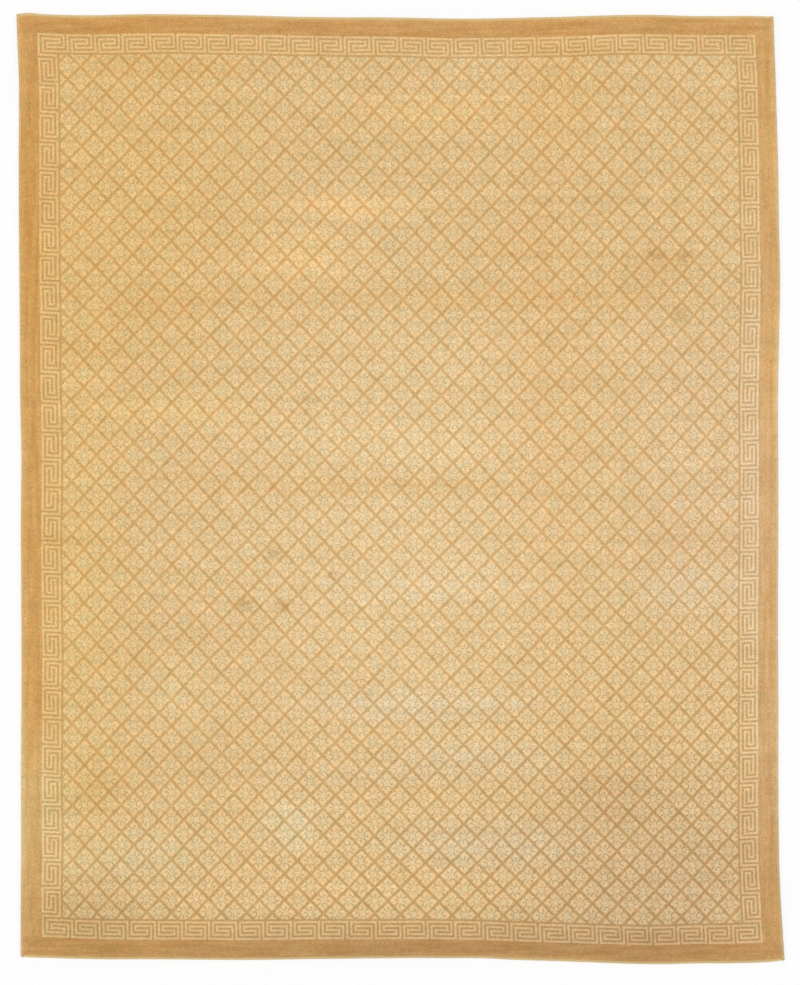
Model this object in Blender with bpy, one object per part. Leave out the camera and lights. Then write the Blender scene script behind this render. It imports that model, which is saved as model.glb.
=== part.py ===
"""Hand-knotted room-size rug, lying flat: the pile panel and an overcast binding down each long side.

The frame has +X across the rug, +Y along it, +Z up, and its origin under the middle of the rug.
"""

from collections import namedtuple
from math import cos, pi, sin

import bmesh
import bpy

# Driving dimensions, in metres.
WIDTH = 2.445            # widest, over both bindings
LENGTH = 3.029           # longest, over both end hems
PILE_TOP = 0.0110        # from the underside to the tips of the pile
WEB_EDGE = 0.0035        # the flat woven end web, at its turned edge
WEB_TOP = 0.0042         # and where the pile starts
WEB_DEPTH = 0.0085       # how far the web shows past the pile
SHOULDER = 0.0060        # the pile rounds down to its edges over this depth
BINDING_WIDTH = 0.0080   # overcast yarn over the edge warps
BINDING_TOP = 0.0076
BINDING_EDGE = 0.0030    # where the binding's dome meets its upright sides
GAP = 0.0003             # parting between panel and binding
SWELL = 0.0005           # slow unevenness of the clipped pile
SWELL_WAVES = (2.5, 3.5)  # swells across and along the rug
ROW_PITCH = 0.100        # spacing of the mesh rows and columns
CORNER_TURNS = (0.022, 0.070)  # extra columns beside the corners, where the ends turn out

# How far each long side lies inside the straight WIDTH, in mm, by the distance from the far end in m.
Side = namedtuple("Side", "down left_in right_in")
SIDES = [
    Side(0.000, 0.0, 35.0), Side(0.090, 2.2, 32.8), Side(0.150, 6.4, 29.9), Side(0.280, 8.3, 26.4),
    Side(0.470, 7.3, 20.7), Side(0.660, 8.0, 18.1), Side(0.850, 9.5, 14.3), Side(1.040, 11.1, 18.1),
    Side(1.235, 11.8, 21.3), Side(1.425, 15.9, 20.4), Side(1.615, 14.0, 20.0), Side(1.930, 15.6, 21.3),
    Side(2.190, 16.2, 20.0), Side(2.440, 14.3, 20.0), Side(2.700, 14.9, 17.5), Side(2.825, 13.7, 13.0),
    Side(2.950, 13.4, 5.1), Side(3.029, 13.4, 0.0),
]

# How far the two ends lie inside the straight LENGTH, in mm, by the distance from the left side in m.
End = namedtuple("End", "across far_in near_in")
ENDS = [
    End(0.000, 5.1, 26.4), End(0.030, 0.0, 22.3), End(0.080, 3.8, 20.7), End(0.140, 6.7, 18.8),
    End(0.270, 7.6, 15.6), End(0.410, 4.1, 15.9), End(0.550, 5.4, 14.9), End(0.745, 8.6, 13.7),
    End(0.890, 12.7, 15.9), End(1.030, 14.0, 17.5), End(1.125, 15.6, 18.8), End(1.195, 12.7, 19.1),
    End(1.270, 16.5, 19.7), End(1.410, 18.4, 19.1), End(1.510, 18.1, 18.8), End(1.600, 15.6, 13.0),
    End(1.700, 13.7, 10.8), End(1.795, 11.1, 7.3), End(1.890, 7.6, 3.8), End(2.030, 6.7, 0.0),
    End(2.175, 10.8, 2.9), End(2.320, 9.9, 3.5), End(2.415, 12.1, 9.2), End(2.445, 12.7, 13.7),
]

# Finish of each material: colour, roughness, metallic.
PILE_WOOL = ("pile_wool", (0.716, 0.462, 0.188), 0.95, 0.0)
BINDING_WOOL = ("binding_wool", (0.638, 0.402, 0.168), 0.90, 0.0)

MILLIMETRE = 0.001


def smooth_value(rows, key, place):
    """Reads column 1 or 2 of a table at a place, on a smooth curve through its rows."""
    index = max(i for i, row in enumerate(rows[:-1]) if row[0] <= place or i == 0)
    before, start = rows[max(index - 1, 0)], rows[index]
    end, after = rows[index + 1], rows[min(index + 2, len(rows) - 1)]
    span = end[0] - start[0]
    t = (place - start[0]) / span
    slope_in = (end[key] - before[key]) / (end[0] - before[0]) * span
    slope_out = (after[key] - start[key]) / (after[0] - start[0]) * span
    rise = end[key] - start[key]
    bend_in, bend_out = slope_in - rise, rise - slope_out
    return start[key] + t * rise + t * (1 - t) * ((1 - t) * bend_in + t * bend_out)


def left_edge(down):
    return -WIDTH / 2 + smooth_value(SIDES, 1, down) * MILLIMETRE


def right_edge(down):
    return WIDTH / 2 - smooth_value(SIDES, 2, down) * MILLIMETRE


def far_end(across):
    return LENGTH / 2 - smooth_value(ENDS, 1, across) * MILLIMETRE


def near_end(across):
    return -LENGTH / 2 + smooth_value(ENDS, 2, across) * MILLIMETRE


def mix(a, b, share):
    return a + (b - a) * share


def rug_place(across, down, inset=0.0):
    """The place at these shares of the width and length, between sides moved in by the inset."""
    left = left_edge(down * LENGTH) + inset
    right = right_edge(down * LENGTH) - inset
    x = mix(left, right, across)
    from_left = min(max(x + WIDTH / 2, 0.0), WIDTH)
    return x, mix(far_end(from_left), near_end(from_left), down)


def spaced_shares(total, near_edges):
    """Shares of a length: the given depths in from both ends, and an even spacing between them."""
    count = round((total - 2 * near_edges[-1]) / ROW_PITCH)
    inner = [mix(near_edges[-1], total - near_edges[-1], i / count) for i in range(1, count)]
    places = [*near_edges, *inner, *[total - depth for depth in reversed(near_edges)]]
    return [place / total for place in places]


def step_height(depth, steps):
    """Height at a depth in from an edge, along straight runs between (depth, height) steps."""
    for (depth_a, height_a), (depth_b, height_b) in zip(steps, steps[1:]):
        if depth <= depth_b:
            return mix(height_a, height_b, (depth - depth_a) / (depth_b - depth_a))
    return steps[-1][1]


SIDE_STEPS = [(0.0, PILE_TOP * 0.60), (SHOULDER * 0.35, PILE_TOP * 0.88), (SHOULDER, PILE_TOP)]
END_STEPS = [
    (0.0, WEB_EDGE), (WEB_DEPTH, WEB_TOP), (WEB_DEPTH + SHOULDER * 0.2, PILE_TOP * 0.75),
    (WEB_DEPTH + SHOULDER, PILE_TOP),
]
COLUMNS = spaced_shares(WIDTH, [depth for depth, _ in SIDE_STEPS] + list(CORNER_TURNS))
ROWS = spaced_shares(LENGTH, [depth for depth, _ in END_STEPS])


def panel_height(across, down):
    """Top of the panel: clipped pile with rounded shoulders, and the low web at both ends."""
    from_side = min(across, 1 - across) * WIDTH
    from_end = min(down, 1 - down) * LENGTH
    top = min(step_height(from_side, SIDE_STEPS), step_height(from_end, END_STEPS))
    if top < PILE_TOP:
        return top
    waves_across, waves_down = SWELL_WAVES
    return top + SWELL * sin(2 * pi * waves_across * across + 1.0) * cos(2 * pi * waves_down * down)


def binding_height(across, _down):
    """Top of the binding: a low dome over its width."""
    return mix(BINDING_EDGE, BINDING_TOP, sin(pi * across) ** 0.7)


def material(name, colour, roughness, metallic):
    made = bpy.data.materials.new(name)
    made.use_nodes = True
    surface = made.node_tree.nodes["Principled BSDF"]
    surface.inputs["Base Color"].default_value = (*colour, 1.0)
    surface.inputs["Roughness"].default_value = roughness
    surface.inputs["Metallic"].default_value = metallic
    return made


def woven_slab(name, finish, columns, place, height, parent, collection):
    """A cloth slab on the floor: a grid laid out by place, raised to height, extruded down flat."""
    shape = bmesh.new()
    bmesh.ops.create_grid(shape, x_segments=len(columns) - 1, y_segments=len(ROWS) - 1, size=0.5)
    for vert in shape.verts:
        across = columns[round((vert.co.x + 0.5) * (len(columns) - 1))]
        down = ROWS[round((0.5 - vert.co.y) * (len(ROWS) - 1))]
        x, y = place(across, down)
        vert.co = (x, y, height(across, down))
    extruded = bmesh.ops.extrude_face_region(shape, geom=shape.faces[:])["geom"]
    underside = [item for item in extruded if isinstance(item, bmesh.types.BMFace)]
    for vert in {vert for face in underside for vert in face.verts}:
        vert.co.z = 0.0
    bmesh.ops.dissolve_faces(shape, faces=underside)
    bmesh.ops.recalc_face_normals(shape, faces=shape.faces)
    mesh = bpy.data.meshes.new(name)
    shape.to_mesh(mesh)
    shape.free()
    mesh.shade_smooth()
    mesh.set_sharp_from_angle(angle=pi / 5)
    mesh.materials.append(finish)
    slab = bpy.data.objects.new(name, mesh)
    slab.parent = parent
    collection.objects.link(slab)
    return slab


def knotted_panel(finish, parent, collection):
    inset = BINDING_WIDTH + GAP

    def place(across, down):
        return rug_place(across, down, inset)

    return woven_slab("knotted_panel", finish, COLUMNS, place, panel_height, parent, collection)


def side_binding(name, on_left, finish, parent, collection):
    """The overcast selvedge down one long side, as long as the panel beside it."""
    strands = [i / 6 for i in range(7)]

    def place(across, down):
        x, y = rug_place(0.0 if on_left else 1.0, down)
        inward = across * BINDING_WIDTH
        return (x + inward if on_left else x - BINDING_WIDTH + inward), y

    return woven_slab(name, finish, strands, place, binding_height, parent, collection)


def clear_scene():
    for item in list(bpy.data.objects):
        bpy.data.objects.remove(item)


def build():
    clear_scene()
    collection = bpy.data.collections.new("tibetan_rug")
    bpy.context.scene.collection.children.link(collection)
    rug = bpy.data.objects.new("rug", None)
    collection.objects.link(rug)
    pile_wool = material(*PILE_WOOL)
    binding_wool = material(*BINDING_WOOL)
    knotted_panel(pile_wool, rug, collection)
    side_binding("side_binding_left", True, binding_wool, rug, collection)
    side_binding("side_binding_right", False, binding_wool, rug, collection)


build()
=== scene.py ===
"""Looks of the room-size knotted rug: cut pile with its woven design, foundation, end hems and selvedges.

Metres throughout, in the frame's own axes: +X across the rug, +Y along it, +Z up.
"""

from collections import namedtuple
from math import pi, radians

import bpy
import numpy as np
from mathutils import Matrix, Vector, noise


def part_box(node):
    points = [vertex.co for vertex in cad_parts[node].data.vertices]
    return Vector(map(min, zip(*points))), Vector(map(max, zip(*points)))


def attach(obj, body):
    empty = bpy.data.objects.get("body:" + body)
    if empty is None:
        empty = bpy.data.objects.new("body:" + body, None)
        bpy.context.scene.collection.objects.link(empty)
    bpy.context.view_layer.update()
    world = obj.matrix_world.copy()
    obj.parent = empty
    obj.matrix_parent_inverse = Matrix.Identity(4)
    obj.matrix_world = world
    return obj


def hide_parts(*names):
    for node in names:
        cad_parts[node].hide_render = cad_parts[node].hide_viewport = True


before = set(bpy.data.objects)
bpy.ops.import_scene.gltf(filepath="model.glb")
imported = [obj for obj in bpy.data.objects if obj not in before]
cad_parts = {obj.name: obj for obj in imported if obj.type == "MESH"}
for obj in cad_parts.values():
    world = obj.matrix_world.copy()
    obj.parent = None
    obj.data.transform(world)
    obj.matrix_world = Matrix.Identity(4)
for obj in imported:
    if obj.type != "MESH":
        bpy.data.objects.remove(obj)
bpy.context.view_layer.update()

# Photograph: size of its frame and of one of its pixels on the rug, and the rug's middle in it.
PHOTO_WIDTH, PHOTO_HEIGHT = 800, 985
PHOTO_PIXEL = 0.00318
RUG_MIDDLE_PX = (400.5, 488.5)

# Heights and depths of the cloth.
MM = 0.001
PILE_TOP = 11.0 * MM
PILE_FOOT = 3.0 * MM
SWELL = 0.5 * MM
SWELL_WAVES = (2.5, 3.5)
COARSE_NAP = (26 * MM, 0.48 * MM)   # size and height of the unevenness of the clipped pile
FINE_NAP = (11 * MM, 0.30 * MM)
WEB_DEPTH = 8.5 * MM
GRID_PITCH = 9.6 * MM
KNOT = 3.12 * MM
WRAP_PITCH = 2.7 * MM
WRAP_STEPS = 5
WARP_PITCH = 2.6 * MM
WEFT_PITCH = 1.1 * MM

# The woven design is counted in border cells of two knots each, from the middle of the rug.
CELLS_HALF_ACROSS = 181.5   # to the outer side of the key border
CELLS_HALF_ALONG = 219.5
BORDER_CELLS = 10           # nine rows of the key pattern and the dark row inside it
UNIT_CELLS = 14             # one repeat of the key pattern
KNOTS_PER_HALF_DIAMOND = 13

# One repeat of the key border, from its outer row to the dark row beside the field.
KEY_CHART = (
    "#############.",
    "#...........#.",
    "#.#########.#.",
    "#.#.......#.#.",
    "#.#.#######.#.",
    "#.#.#.......#.",
    "#.#.#########.",
    "#.#...........",
    "#.############",
)

# The curl in a diamond's top lobe, knot by knot: it leaves the lattice at the left and hooks back.
# The other three curls are this one turned about the diamond's middle. It was charted.
CURL_CHART = (
    ".o+...+o.....",
    ".oo...+o+..+.",
    "..oo...o..o..",
    "...oooo+.o...",
)
CURL_TOP_ROW = 6            # knots from the diamond's middle to the first row above
CURL_STRENGTHS = (0.50, 1.25)       # of its knots, by chance
CURL_WEAR = (0.75, 1.10)            # and of whole stretches of curls
# A diamond's outline starts and is full at these knots from its middle, give or take its jags.
LINE_FROM, LINE_FULL = 10.0, 12.0
LINE_JAGS = 0.6
MIDDLE_SPAN = (0.15, 0.62)          # half diamonds over which the ground changes from its middle wool

# For each side: the plain band from the rug's edge to the key border, at even places along the side,
# the depth of one border cell, both in mm, and how many cells the key pattern drifts along the side.
# They were entered from what small programs measured in the photograph.
Side = namedtuple("Side", "bands cell drift")
SIDES = {
    "left": Side(
        bands=(64.6, 65.2), cell=6.80,
        drift=(0.0, -0.8, -1.45, -0.1, 0.7, 0.85, 1.4, 1.7, 0.0),
    ),
    "right": Side(
        bands=(60.8, 64.2), cell=6.45,
        drift=(0.0, 0.4, 0.7, 2.5, 2.7, 2.3, 2.6, 2.0, 0.0),
    ),
    "far": Side(
        bands=(62.6, 62.6, 62.0, 63.2, 64.0, 62.6), cell=6.57,
        drift=(0.0, -0.1, 0.5, -0.2, -1.15, -0.75, -1.1, 0.3, 0.0),
    ),
    "near": Side(
        bands=(67.3, 65.5, 64.8, 61.4, 60.5, 61.8, 66.0), cell=6.50,
        drift=(-0.4, -0.3, 0.85, 1.3, 0.0, 0.2, -1.0, -0.4, 0.3),
    ),
}
DRIFT_SPAN = (0.055, 0.945)  # the shares of a side that its drift places reach between

# Half diamonds of the lattice counted from its top left, at four places along four rows, in metres.
# These counts come from a program: a smooth surface fitted to counts measured in the photograph.
LATTICE_X = (-1.076, -0.361, 0.358, 1.073)
LATTICE_Y = (1.369, 0.456, -0.453, -1.366)
HALVES_ACROSS = (
    (3.65, 21.38, 39.13, 56.95), (3.39, 21.09, 38.71, 56.60),
    (3.28, 21.22, 38.93, 56.84), (3.19, 21.23, 38.81, 56.70),
)
HALVES_DOWN = (
    (4.45, 4.16, 4.04, 4.28), (25.96, 25.60, 25.28, 25.32),
    (47.16, 46.79, 46.47, 46.55), (68.44, 68.45, 68.23, 68.12),
)

# How the weave sways: the lattice's shift in half diamonds, the sizes of the swells across and along in
# metres, their reach in half diamonds and in border cells, and the sway of single knots in knots.
LATTICE_SHIFT = (-0.086, -0.053)
WANDER_SIZES = (0.17, 0.19)
LATTICE_WANDER = 0.06
CELL_WANDER = 0.35
KNOT_SWAY = 1.2
KNOT_FRAY = 0.9
CELL_FRAY = 0.5

# Colours as they show in daylight, 0 to 255.
LIGHT_WOOL = (232, 198, 142)
MIDDLE_WOOL = (226, 197, 147)
LATTICE_WOOL = (212, 172, 114)
LATTICE_DEEP_WOOL = (197, 158, 99)
CURL_WOOL = (200, 168, 116)
KEY_LIGHT_WOOL = (230, 192, 135)
KEY_DARK_WOOL = (201, 162, 105)
BAND_WOOL = (214, 168, 106)
BAND_DEEP_WOOL = (199, 150, 86)
BACK_WOOL = (214, 190, 148)
# The web's third colour is painted shade in the dips between its weft rows.
WEB_LIGHT, WEB_DARK, WEB_HOLLOW_SHADE = (231, 202, 151), (213, 180, 127), (150, 116, 72)
# The yarn's third colour is painted shade in the hollows between its turns.
YARN_LIGHT, YARN_DARK, YARN_HOLLOW_SHADE = (229, 200, 147), (216, 185, 133), (140, 104, 62)

# Factors on light.
END_BAND_TINT = (0.965, 0.935, 0.910)   # for the band at both ends
DULL = (0.925, 0.905, 0.860)
ROSY = (1.045, 0.985, 0.955)
GREENISH = (0.950, 1.002, 1.030)
YARN_DULL = (0.965, 0.940, 0.900)
# The pattern is clearer towards the near end and most at its right: the way there, the distances that
# this starts and is full at, and factors on its dark and light wools.
NEAR_WAY = (0.30, -1.0, 0.0)
NEAR_SPAN = (0.45, 1.30)
NEAR_DARK_TINT = (0.90, 0.89, 0.87)
NEAR_LIGHT_TINT = (1.045, 1.045, 1.045)
NEAR_BORDER_SHARE = 0.45

# Soft patches of tone: place, radii, and the factors on red, green and blue light at their middles.
# Places and radii of these and of the bands were chosen. Nearly all their factors come from a
# program that fitted them to the photograph, and were then rounded.
Patch = namedtuple("Patch", "x y across along red green blue")
TONES = [
    Patch(0.00, -0.10, 0.95, 1.21, 1.07, 1.12, 1.24),   # paler middle
    Patch(0.95, 0.06, 0.41, 0.95, 1.02, 1.04, 1.19),    # paler right
    Patch(-0.92, 0.95, 0.73, 0.95, 1.01, 0.96, 0.81),   # golden upper left
    Patch(-1.08, -0.23, 0.35, 1.53, 1.03, 1.01, 0.88),  # golden left side
    Patch(0.86, -1.28, 0.83, 0.64, 0.86, 0.85, 0.93),   # dusky lower right
    Patch(0.00, -1.52, 1.65, 0.25, 0.74, 0.75, 0.81),   # browner near end
    Patch(-1.02, -1.36, 0.41, 0.22, 0.84, 0.84, 0.81),  # dusky near left corner
    Patch(-0.76, 1.34, 0.60, 0.07, 0.97, 0.92, 0.81),   # golden far rows
    Patch(1.14, -0.04, 0.11, 1.78, 1.04, 1.14, 1.41),   # cooler right margin
    Patch(-1.14, -1.02, 0.15, 0.35, 1.00, 1.10, 1.23),  # paler lower left margin
    Patch(0.51, 1.27, 0.22, 0.38, 1.01, 0.97, 0.89),    # duller stripe
    Patch(0.46, 0.41, 0.19, 1.59, 1.02, 0.98, 0.96),    # warmer stripe
]
# Bands that run with the weft, where the dye or the wear changes, and a few blots.
BANDS = [
    # Darker and more golden, from the far end to the near one.
    Patch(0.38, 0.77, 0.35, 0.07, 0.98, 0.94, 0.88),
    Patch(0.81, 0.71, 0.22, 0.10, 0.97, 0.91, 0.84),
    Patch(0.25, 0.61, 1.46, 0.07, 0.98, 0.93, 0.85),
    Patch(-0.80, 0.57, 0.25, 0.10, 0.98, 0.93, 0.84),
    Patch(-1.00, 0.44, 0.22, 0.08, 0.96, 0.91, 0.83),
    Patch(-0.10, 0.01, 0.83, 0.06, 0.95, 0.90, 0.80),
    Patch(0.83, -0.16, 0.48, 0.06, 0.97, 0.94, 0.92),
    Patch(-1.08, -0.17, 0.22, 0.06, 0.96, 0.93, 0.86),
    Patch(-0.92, -0.55, 0.25, 0.07, 0.98, 0.95, 0.89),
    Patch(-0.97, -0.93, 0.22, 0.19, 0.94, 0.92, 0.81),
    Patch(0.67, -0.96, 0.25, 0.16, 0.96, 0.94, 0.94),
    # Paler, from the far end to the near one.
    Patch(0.13, 1.20, 0.54, 0.10, 1.07, 1.04, 0.98),
    Patch(-0.16, 0.90, 0.35, 0.07, 1.14, 1.10, 1.06),
    Patch(-0.32, 0.73, 0.25, 0.13, 1.11, 1.08, 1.01),
    Patch(0.70, 0.44, 0.25, 0.13, 1.05, 1.04, 1.07),
    Patch(-0.70, 0.25, 0.51, 0.10, 1.06, 1.05, 0.99),
    Patch(-0.03, 0.15, 0.70, 0.10, 1.04, 1.06, 1.08),
    Patch(0.92, 0.15, 0.25, 0.16, 1.04, 1.05, 1.06),
    Patch(0.09, -0.31, 0.70, 0.11, 1.02, 1.05, 1.12),
    Patch(0.92, -0.32, 0.29, 0.13, 1.01, 1.06, 1.19),
    Patch(-0.72, -0.67, 0.22, 0.16, 1.03, 1.06, 1.07),
    Patch(0.06, -0.69, 0.60, 0.08, 0.99, 1.07, 1.27),
    Patch(0.24, -0.85, 0.41, 0.07, 0.98, 1.04, 1.22),
    Patch(0.00, -0.91, 0.83, 0.05, 0.96, 0.98, 1.07),
    Patch(-0.35, -1.07, 0.16, 0.13, 1.02, 1.14, 1.33),
    Patch(0.25, -1.13, 0.48, 0.13, 0.96, 1.04, 1.23),
    Patch(-0.80, -1.17, 0.35, 0.11, 0.97, 1.05, 1.13),
]
# The same on the plain band alone, with factors set from measured differences.
RIM_TONES = [
    Patch(-1.19, 0.85, 0.08, 0.80, 0.97, 0.94, 0.84),   # golden, far part of the left side
    Patch(-1.19, -1.05, 0.08, 0.60, 1.04, 1.11, 1.20),  # paler, near part of the left side
    Patch(1.18, 0.35, 0.07, 0.40, 1.10, 1.11, 1.08),
    Patch(1.18, 1.05, 0.07, 0.25, 1.07, 1.09, 1.10),
    Patch(1.18, -0.80, 0.07, 0.45, 1.01, 1.07, 1.20),
    Patch(-0.90, 1.47, 0.40, 0.06, 0.99, 0.97, 0.87),
    Patch(-0.29, -1.46, 0.11, 0.07, 1.12, 1.16, 1.20),
    Patch(-0.68, -1.48, 0.13, 0.05, 0.90, 0.89, 0.86),
    Patch(0.80, -1.43, 0.22, 0.04, 0.89, 0.87, 0.85),
    Patch(0.50, -1.50, 0.30, 0.04, 1.10, 1.10, 1.06),
]
# Small stains: place, radii and strength.
Stain = namedtuple("Stain", "x y across along strength")
STAINS = [
    Stain(-0.400, -0.205, 0.045, 0.036, 0.9), Stain(-0.495, -0.368, 0.055, 0.036, 1.0),
    Stain(-0.375, -0.374, 0.050, 0.038, 1.0), Stain(-0.215, -0.277, 0.030, 0.028, 0.8),
    Stain(0.810, 0.745, 0.060, 0.040, 0.9), Stain(0.900, 0.735, 0.045, 0.034, 0.8),
    Stain(0.890, 0.550, 0.045, 0.050, 0.9), Stain(-0.400, -1.140, 0.040, 0.036, 0.5),
    Stain(-0.290, 0.275, 0.050, 0.040, 0.4), Stain(0.000, -1.220, 0.045, 0.035, 0.4),
]
STAIN_COLOUR = (0.74, 0.64, 0.46)
# The rim is paler, and partly painted light that lifts the shade on the pile's rounded rim: its factors,
# and the depths that they start to fade at and are gone by.
RIM_PALENESS_AND_PAINTED_LIGHT = (1.36, 1.50, 1.48)
RIM_PALENESS_AND_PAINTED_LIGHT_FROM = 6 * MM
RIM_PALENESS_AND_PAINTED_LIGHT_DEPTH = 19 * MM
# Dye drift: where a place is darker it is also more golden, by these powers on red, green and blue.
DRIFT_POWERS = (1.0, 1.2, 1.9)
Drift = namedtuple("Drift", "stretch size reach layer")   # stretch is along the weft, size in metres
DRIFTS = (Drift(14, 0.030, 0.050, 41.0), Drift(7, 0.011, 0.035, 45.0), Drift(1, 0.070, 0.035, 49.0))

# Noises of the materials: swells to a metre, detail, roughness, and the values taken as least and most.
Swell = namedtuple("Swell", "per_metre detail roughness low high")
DYE = Swell(26.0, 4.0, 0.7, 0.34, 0.66)
WEAR = Swell(24.0, 2.0, 0.6, 0.34, 0.66)
STAIN_EDGE = Swell(70.0, 3.0, 0.7, 0.30, 0.62)
DULLING = Swell(55.0, 3.0, 0.65, 0.38, 0.68)
HUE = Swell(48.0, 3.0, 0.7, 0.36, 0.64)
GRAIN = Swell(170.0, 2.0, 0.7, 0.3, 0.7)
FIBRE = Swell(900.0, 2.0, 0.5, 0.3, 0.7)
YARN_DYE = Swell(6.0, 3.0, 0.6, 0.35, 0.65)
FRAY = Swell(420.0, 1.0, 0.5, 0.0, 1.0)
SWAY = Swell(38.0, 1.0, 0.5, 0.0, 1.0)
FUZZ = Swell(700.0, 3.0, 0.7, 0.0, 1.0)
TUFTING = Swell(60.0, 3.0, 0.6, 0.0, 1.0)
KNOT_SHADES = (0.89, 1.11)
GRAIN_SHADES = (0.89, 1.11)
FIBRE_SHADES = (0.96, 1.04)

# Relief of the pile beyond its mesh: how far from its middle a knot falls away, in knots, and how high
# its dome, its own chance, the fuzz and the tufting stand in shares of the relief's depth.
DOME_SPAN = (0.62, 0.10)
DOME_RISE = 0.55
CHANCE_RISE = 0.35
FUZZ_RISE = 0.9
TUFTING_RISE = 1.6
PILE_RELIEF = 0.9 * MM
BACK_RELIEF = 0.6 * MM
WEB_RELIEF = 0.5 * MM
YARN_RELIEF = 0.35 * MM

# Streaks of the plain band and of the web: swells to a metre across, along and up, and the values taken
# as least and most. Then shares of the colours laid over others, and the plied yarn.
END_STREAKS = (5.0, 60.0, 1.0)
SIDE_STREAKS = (75.0, 4.0, 1.0)
WEB_STREAKS = (14.0, 160.0, 1.0)
STREAK_SPAN = (0.33, 0.67)
STREAK_DETAIL = 3.0
STREAK_ROUGHNESS = 0.6
BACK_PALENESS = 0.25
# The two hollow shares set how much painted shade darkens the dips of the web and the yarn.
WEB_HOLLOW_SHADE_SHARE = 0.35
WEB_TONE_SHARE = 0.45
YARN_HOLLOW_SHADE_SHARE = 0.5
YARN_HOLLOW_SHADE_POWER = 3.0     # keeps the painted shade to the very bottom between two turns
PLIES = 3                   # in one turn
PLY_SLANT = 9.0
PLY_RISE = 0.35
YARN_FUZZ = 1500.0          # swells to a metre

# Light and camera.
FLOOR_TONES = ((0.925, 0.925, 0.925), (0.94, 0.94, 0.94))
FLOOR_SIZE = 400.0
FLOOR_DROP = 0.3 * MM
SKY_STRENGTH = 0.72
SUN_STRENGTH = 1.085
SUN_SPREAD = 30            # degrees
SUN_TILT = (3, -9, 0)      # degrees
LENS = 100.0
SENSOR = 36.0
CAMERA_REACH = 50.0


def linear(colour):
    """Light as a shader takes it, from a colour of 0 to 255 as a screen shows it."""
    share = np.array(colour) / 255
    return tuple(np.where(share <= 0.04045, share / 12.92, ((share + 0.055) / 1.055) ** 2.4))


# The rug's outline, read from the CAD panel and bindings, as smooth curves over shares of each side.


def smooth_table(places, values, count=900):
    """Many places and values on a smooth curve through the given points."""
    fine = np.linspace(places[0], places[-1], count)
    slopes = np.gradient(values, places)
    index = np.clip(np.searchsorted(places, fine, side="right") - 1, 0, len(places) - 2)
    span = places[index + 1] - places[index]
    t = (fine - places[index]) / span
    rise = values[index + 1] - values[index]
    bend_in = slopes[index] * span - rise
    bend_out = rise - slopes[index + 1] * span
    return fine, values[index] + t * rise + t * (1 - t) * ((1 - t) * bend_in + t * bend_out)


def underside_points(node):
    """The node's points on the floor."""
    mesh = bpy.data.objects[node].data
    points = np.array([vert.co for vert in mesh.vertices])
    return np.unique(np.round(points[points[:, 2] < 0.1 * MM][:, :2], 6), axis=0)


def outline():
    """Smooth tables of x over the share down each side, and of y over the share across each end."""
    rim = underside_points("knotted_panel")
    rim = rim[np.argsort(np.arctan2(rim[:, 1], rim[:, 0]))]
    reach = np.abs(rim).max(axis=0)
    corners = [int(np.argmax(rim / reach @ np.array(way))) for way in ((-1, -1), (1, -1), (1, 1), (-1, 1))]
    rim = np.roll(rim, -corners[0], axis=0)
    corners = [(corner - corners[0]) % len(rim) for corner in corners] + [len(rim)]
    loop = np.concatenate([rim, rim[:1]])
    tables = {}
    for i, (name, axis) in enumerate((("near", 1), ("right", 0), ("far", 1), ("left", 0))):
        side = loop[corners[i]:corners[i + 1] + 1]
        along, values = side[:, 1 - axis], side[:, axis]
        starts_low = along[0] < along[-1]
        if starts_low == (axis == 0):  # shares run across from the left and down from the far end
            along, values = along[::-1], values[::-1]
        tables[name] = smooth_table((along - along[0]) / (along[-1] - along[0]), values)
    return tables


OUTLINE = outline()
PANEL_WIDTH = float(OUTLINE["right"][1].mean() - OUTLINE["left"][1].mean())
PANEL_LENGTH = float(OUTLINE["far"][1].mean() - OUTLINE["near"][1].mean())
BINDING_WIDTH = float(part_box("knotted_panel")[0][0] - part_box("side_binding_left")[0][0])


def read(name, share):
    return np.interp(share, *OUTLINE[name])


def place_of(across, down):
    """Plan position at shares of the panel's width and length."""
    left, right = read("left", down), read("right", down)
    far, near = read("far", across), read("near", across)
    return left + (right - left) * across, far + (near - far) * down


def shares_of(x, y):
    """Shares of the panel's width and length at a plan position, the other way round from place_of."""
    across, down = np.full_like(x, 0.5), np.full_like(x, 0.5)
    for _ in range(3):
        far, near = read("far", across), read("near", across)
        down = (far - y) / (far - near)
        left, right = read("left", down), read("right", down)
        across = (x - left) / (right - left)
    return across, down


# Design coordinates, which the materials read from two maps on each mesh.


def even_places(values, share, span=(0.0, 1.0)):
    """Values at even places over a span of shares, read at any share."""
    return np.interp(share, np.linspace(*span, len(values)), values)


def cells_from_edges(low_depth, high_depth, low, high, along, half_cells):
    """Cells from the rug's middle line, given the depths in from two opposite sides."""
    counts, inward = [], []
    for side, depth in ((low, low_depth), (high, high_depth)):
        past_band = depth - even_places(side.bands, along) * MM
        counts.append(past_band / (side.cell * MM))
        inward.append(past_band - BORDER_CELLS * side.cell * MM)
    low_count, high_count = counts
    inner = half_cells - BORDER_CELLS
    middle = -inner + 2 * inner * inward[0] / (inward[0] + inward[1])
    cells = np.where(low_count < BORDER_CELLS, low_count - half_cells, middle)
    return np.where(high_count < BORDER_CELLS, half_cells - high_count, cells)


def through_stations(stations, values, place):
    """The smoothest curve through the values at the stations, a cubic for four of them."""
    total = 0.0
    for i, value in enumerate(values):
        part = value
        for j, station in enumerate(stations):
            if j != i:
                part = part * (place - station) / (stations[i] - station)
        total = total + part
    return total


def lattice_count(table, x, y):
    rows = [through_stations(LATTICE_X, row, x) for row in table]
    return through_stations(LATTICE_Y, rows, y)


def wander(x, y, size, reach, layer):
    """Slow drift of the weave: smooth noise of one size, up to about the reach."""
    spots = zip(x / size, y / size)
    return reach * np.array([noise.noise((a, b, layer)) for a, b in spots])


def smooth_step(share):
    share = np.clip(share, 0.0, 1.0)
    return share * share * (3 - 2 * share)


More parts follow.
